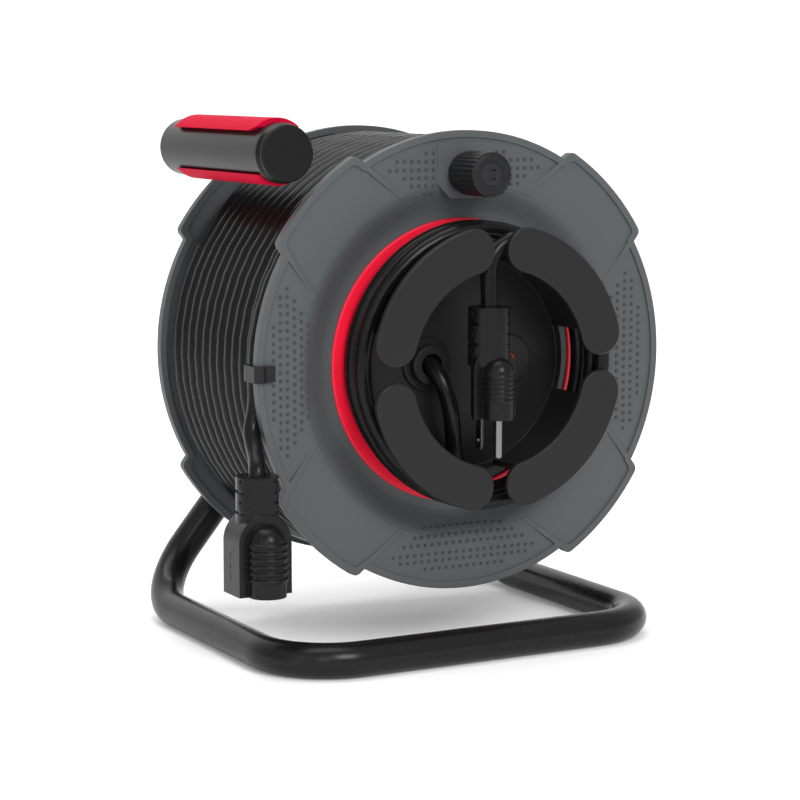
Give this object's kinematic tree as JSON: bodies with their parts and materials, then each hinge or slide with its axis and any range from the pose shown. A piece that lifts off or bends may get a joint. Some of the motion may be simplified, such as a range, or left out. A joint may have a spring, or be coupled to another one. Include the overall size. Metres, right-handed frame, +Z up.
{
  "type": "extension cord reel",
  "caption": "Cable drum with lobed flanges and a hub storage cup, turning on a bent tube floor frame with a carrying grip and a crank knob.",
  "frame": {"origin": "on the floor under the middle of the reel's outline without its cords, where the rails stand", "axes": "+Z up, +X to the right as seen from the crank side, +Y from the crank side to the rear along the drum's axis"},
  "size_m": [0.3122, 0.2565, 0.3367],
  "materials": {
    "black_tube": "satin black powder coat",
    "grip_hard": "fine moulded texture",
    "grip_soft": "soft matt overmould",
    "zinc_steel": "zinc plated",
    "axle_steel": "turned steel, greased",
    "cable_jacket": "smooth satin jacket",
    "plug_rubber": "matt moulded rubber",
    "brass_strip": "stamped strip",
    "grey_plastic": "satin moulded plastic",
    "black_plastic": "satin moulded plastic",
    "bush_plastic": "plain bearing plastic",
    "red_plastic": "glossy moulded plastic",
    "orange_plastic": "glossy moulded plastic",
    "black_screw": "black oxide",
    "nickel_brass": "nickel plated brass, satin"
  },
  "bodies": {
    "frame": {"frame_tube": "black_tube", "grip_core": "grip_hard", "grip_pad_top": "grip_soft", "grip_pad_bottom": "grip_soft", "grip_cap": "grip_hard", "axle_plate": "black_tube", "tube_saddles": "zinc_steel", "saddle_bolts": "zinc_steel", "axle": "axle_steel", "thrust_washer": "zinc_steel", "axle_washer": "zinc_steel", "axle_clip": "zinc_steel", "outlet_lead": "cable_jacket", "connector_body": "plug_rubber", "connector_contacts": "brass_strip"},
    "drum": {"front_flange": "grey_plastic", "rear_flange": "grey_plastic", "core_barrel": "black_plastic", "winding_core": "cable_jacket", "drum_winding": "cable_jacket", "front_bush": "bush_plastic", "rear_bush": "bush_plastic", "flange_screws": "zinc_steel", "hub_cup": "black_plastic", "hub_screws": "zinc_steel", "trim_ring": "red_plastic", "retainer_upper_right": "black_plastic", "retainer_lower_right": "black_plastic", "retainer_lower_left": "black_plastic", "retainer_upper_left": "black_plastic", "supply_gland": "black_plastic", "gland_nut": "black_plastic", "breaker_bezel": "black_plastic", "breaker_body": "black_plastic", "cable_clip": "black_plastic", "knob_screw": "black_screw", "supply_lead": "cable_jacket", "supply_coil": "cable_jacket", "supply_tail": "cable_jacket", "plug_body": "plug_rubber", "plug_blades": "nickel_brass", "plug_ground_pin": "nickel_brass"},
    "knob": {"crank_knob": "black_plastic"},
    "button": {"reset_button": "orange_plastic"}
  },
  "joints": [
    {"name": "drum_spin", "type": "hinge", "parent": "frame", "child": "drum", "pos_m": [0.0033, 0, 0.183], "axis": [0, 1, 0], "continuous": true, "deforming": ["outlet_lead"]},
    {"name": "knob_spin", "type": "hinge", "parent": "drum", "child": "knob", "pos_m": [0.0033, -0.08942, 0.3015], "axis": [0, 1, 0], "continuous": true},
    {"name": "reset_press", "type": "slide", "parent": "drum", "child": "button", "axis": [0, 1, 0], "range_m": [0, 0.0025], "stiffness_N_per_m": 300}
  ]
}
